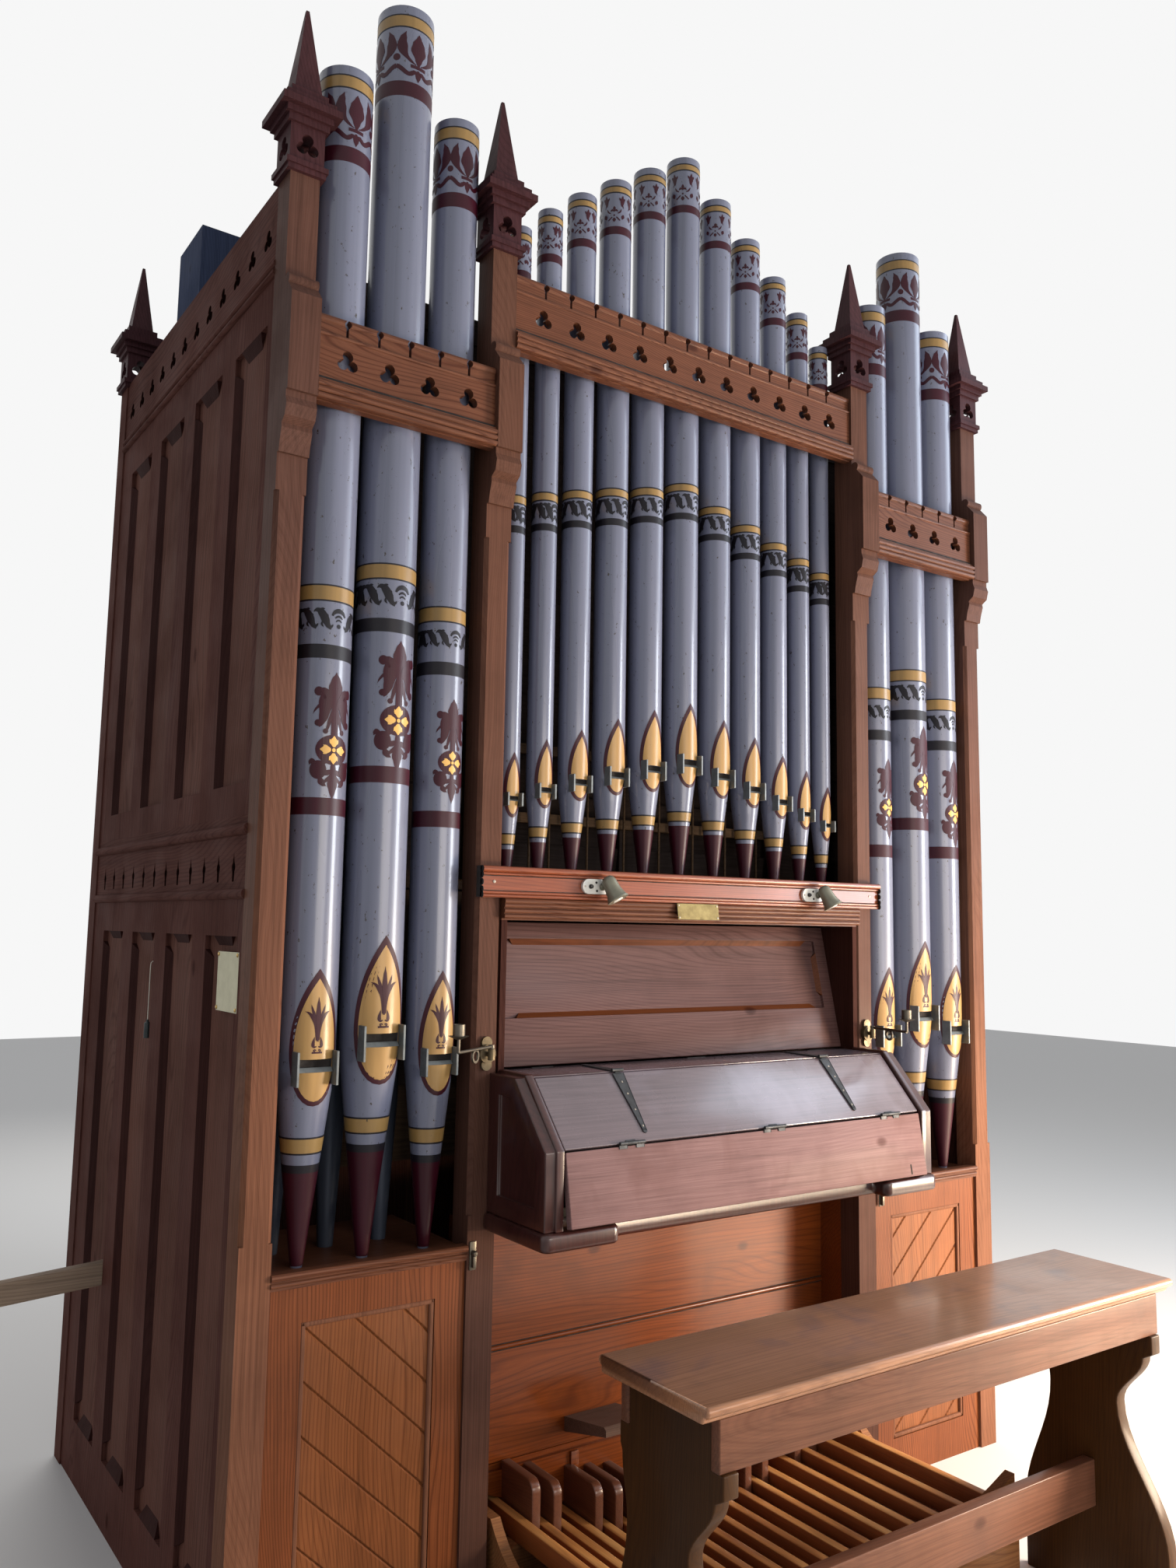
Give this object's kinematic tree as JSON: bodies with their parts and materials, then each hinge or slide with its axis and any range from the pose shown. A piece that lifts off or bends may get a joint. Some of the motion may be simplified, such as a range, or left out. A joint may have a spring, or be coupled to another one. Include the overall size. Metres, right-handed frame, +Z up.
{
  "type": "pipe organ",
  "caption": "Small pipe organ in a panelled timber case with painted front pipes, pinnacled posts, pierced rails, a projecting key desk with folding lid, a pedalboard and a bench.",
  "frame": {"origin": "on the floor, in the middle of the plane of the front posts", "axes": "+Z up, -Y towards the player, +X to the player's right"},
  "size_m": [2.6345, 2.241, 3.59],
  "materials": {
    "pitch_pine": "satin",
    "dark_pine": "satin",
    "inner_timber": "matt",
    "worn_pine": "satin",
    "pedal_wood": "satin",
    "ivory_keys": "gloss",
    "ebony": "gloss",
    "black_iron": "matt",
    "painted_pipe": "satin",
    "pipe_metal": "matt",
    "brass": "satin",
    "bronze": "satin",
    "lamp_metal": "satin",
    "lever_wood": "satin"
  },
  "bodies": {
    "case": {"outer_left_post": "pitch_pine", "inner_left_post": "pitch_pine", "inner_right_post": "pitch_pine", "outer_right_post": "pitch_pine", "rear_left_post": "pitch_pine", "rear_right_post": "pitch_pine", "pinnacles": "pitch_pine", "left_tower_rail": "pitch_pine", "centre_rail": "pitch_pine", "right_tower_rail": "pitch_pine", "left_tower_sill": "pitch_pine", "right_tower_sill": "pitch_pine", "left_tower_panel": "pitch_pine", "right_tower_panel": "pitch_pine", "left_side_frame": "dark_pine", "left_side_panels": "dark_pine", "left_side_friezes": "dark_pine", "right_side_frame": "dark_pine", "right_side_panels": "dark_pine", "right_side_friezes": "dark_pine", "back_frame": "dark_pine", "back_panels": "dark_pine", "impost": "pitch_pine", "desk_rail": "pitch_pine", "centre_toe_board": "inner_timber", "music_desk": "worn_pine", "music_desk_cheeks": "worn_pine", "left_cheek": "worn_pine", "right_cheek": "worn_pine", "key_bed": "worn_pine", "desk_top_strip": "worn_pine", "name_board": "inner_timber", "lower_manual": "ivory_keys", "upper_manual": "ivory_keys", "stop_knobs": "ebony", "fixed_straps": "black_iron", "kneeboard": "pitch_pine", "swell_pedal": "pitch_pine", "left_tower_pipes": "painted_pipe", "centre_pipes": "painted_pipe", "right_tower_pipes": "painted_pipe", "inner_pipes": "pipe_metal", "wind_chest": "inner_timber", "wooden_pipe": "inner_timber", "pedalboard_frame": "worn_pine", "natural_pedals": "pedal_wood", "sharp_pedals": "worn_pine", "bench_top": "worn_pine", "bench_rails": "worn_pine", "bench_legs": "worn_pine", "left_sconce_rose": "brass", "right_sconce_rose": "brass", "spot_lamps": "lamp_metal"},
    "lid": {"lid": "worn_pine", "lid_hinges": "black_iron"},
    "flap": {"lid_flap": "worn_pine", "flap_hinges": "black_iron"},
    "left_sconce_arm": {"left_sconce": "bronze"},
    "right_sconce_arm": {"right_sconce": "bronze"},
    "lever": {"blowing_lever": "lever_wood"}
  },
  "joints": [
    {"name": "lid_hinge", "type": "hinge", "parent": "case", "child": "lid", "pos_m": [0, -0.14318, 1.15838], "axis": [-1, 0, 0], "range_deg": [0, 160]},
    {"name": "flap_hinge", "type": "hinge", "parent": "lid", "child": "flap", "pos_m": [0, -0.26918, 1.02138], "axis": [-1, 0, 0], "range_deg": [0, 200]},
    {"name": "left_sconce_swivel", "type": "hinge", "parent": "case", "child": "left_sconce_arm", "pos_m": [-0.612, -0.0595, 1.198], "axis": [0, 0, 1], "range_deg": [-22, 60]},
    {"name": "right_sconce_swivel", "type": "hinge", "parent": "case", "child": "right_sconce_arm", "pos_m": [0.612, -0.0595, 1.198], "axis": [0, 0, 1], "range_deg": [0, 88]},
    {"name": "blowing_lever_pivot", "type": "hinge", "parent": "case", "child": "lever", "pos_m": [-1.075, 0.992, 0.575], "axis": [0, 1, 0], "range_deg": [-2, 12]}
  ]
}
